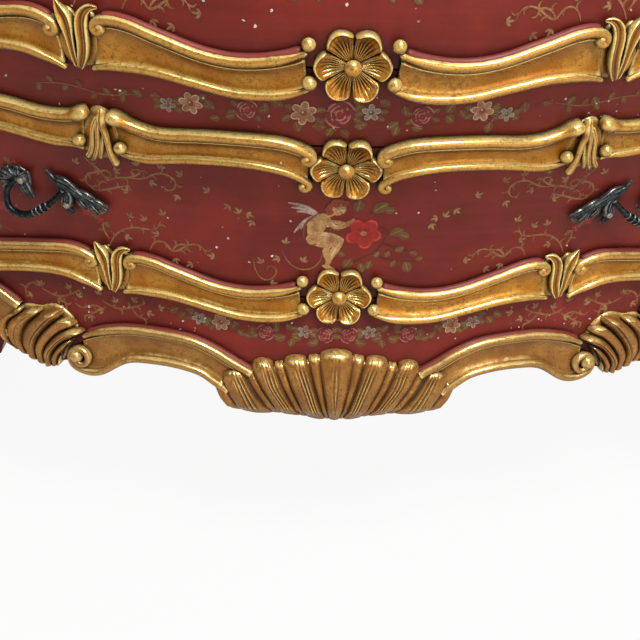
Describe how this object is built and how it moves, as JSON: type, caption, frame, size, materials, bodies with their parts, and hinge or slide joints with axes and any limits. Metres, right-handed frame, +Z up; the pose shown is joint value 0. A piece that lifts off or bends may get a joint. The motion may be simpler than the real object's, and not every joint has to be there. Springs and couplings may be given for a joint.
{
  "type": "bombe chest",
  "caption": "Swelling serpentine-front chest of drawers on cabriole legs, red painted with flowers, gilt carved mouldings, shell apron and cast scroll pulls.",
  "frame": {"origin": "on the floor, under the middle of the chest's overall box", "axes": "+Z up, the drawers open towards -Y, +X to the right of a viewer who faces the front"},
  "size_m": [1.1216, 0.5403, 0.816],
  "materials": {
    "red_paint": "red painted and varnished wood with painted flowers and scrolls",
    "gilding": "aged gilding on carved wood",
    "case_wood": "bare softwood",
    "drawer_wood": "bare softwood",
    "pull_bronze": "dark patinated casting",
    "screw_brass": "worn brass"
  },
  "bodies": {
    "case": {"front_post_left": "red_paint", "front_post_right": "red_paint", "side_panel_left": "red_paint", "side_panel_right": "red_paint", "top_rail": "red_paint", "middle_rail": "red_paint", "apron": "red_paint", "bed_moulding": "gilding", "apron_shell": "gilding", "apron_moulding_left": "gilding", "apron_moulding_right": "gilding", "apron_leaf_left": "gilding", "apron_leaf_right": "gilding", "side_mouldings_left": "gilding", "side_mouldings_right": "gilding", "knee_carving_left": "gilding", "knee_carving_right": "gilding", "post_drop_left": "gilding", "post_drop_right": "gilding", "top_board": "red_paint", "rear_post_left": "red_paint", "rear_post_right": "red_paint", "back_panel": "case_wood", "bottom_board": "case_wood", "dust_board": "case_wood", "upper_runners": "case_wood", "lower_runners": "case_wood", "drawer_guides": "case_wood", "drawer_stops": "case_wood", "glue_blocks": "case_wood"},
    "lower_drawer": {"lower_drawer_front": "red_paint", "lower_drawer_side_left": "drawer_wood", "lower_drawer_side_right": "drawer_wood", "lower_drawer_back": "drawer_wood", "lower_drawer_bottom": "drawer_wood", "lower_drawer_top_moulding": "gilding", "lower_drawer_low_moulding": "gilding", "lower_drawer_top_rosette": "gilding", "lower_drawer_low_rosette": "gilding", "lower_drawer_clasps": "gilding", "lower_drawer_pull_left": "pull_bronze", "lower_drawer_pull_right": "pull_bronze", "lower_drawer_pull_screws": "screw_brass"},
    "upper_drawer": {"upper_drawer_front": "red_paint", "upper_drawer_side_left": "drawer_wood", "upper_drawer_side_right": "drawer_wood", "upper_drawer_back": "drawer_wood", "upper_drawer_bottom": "drawer_wood", "upper_drawer_top_moulding": "gilding", "upper_drawer_low_moulding": "gilding", "upper_drawer_top_rosette": "gilding", "upper_drawer_low_rosette": "gilding", "upper_drawer_clasps": "gilding", "upper_drawer_pull_left": "pull_bronze", "upper_drawer_pull_right": "pull_bronze", "upper_drawer_pull_screws": "screw_brass"}
  },
  "joints": [
    {"name": "lower_drawer_slide", "type": "slide", "parent": "case", "child": "lower_drawer", "axis": [0, -1, 0], "range_m": [0, 0.28]},
    {"name": "upper_drawer_slide", "type": "slide", "parent": "case", "child": "upper_drawer", "axis": [0, -1, 0], "range_m": [0, 0.28]}
  ]
}
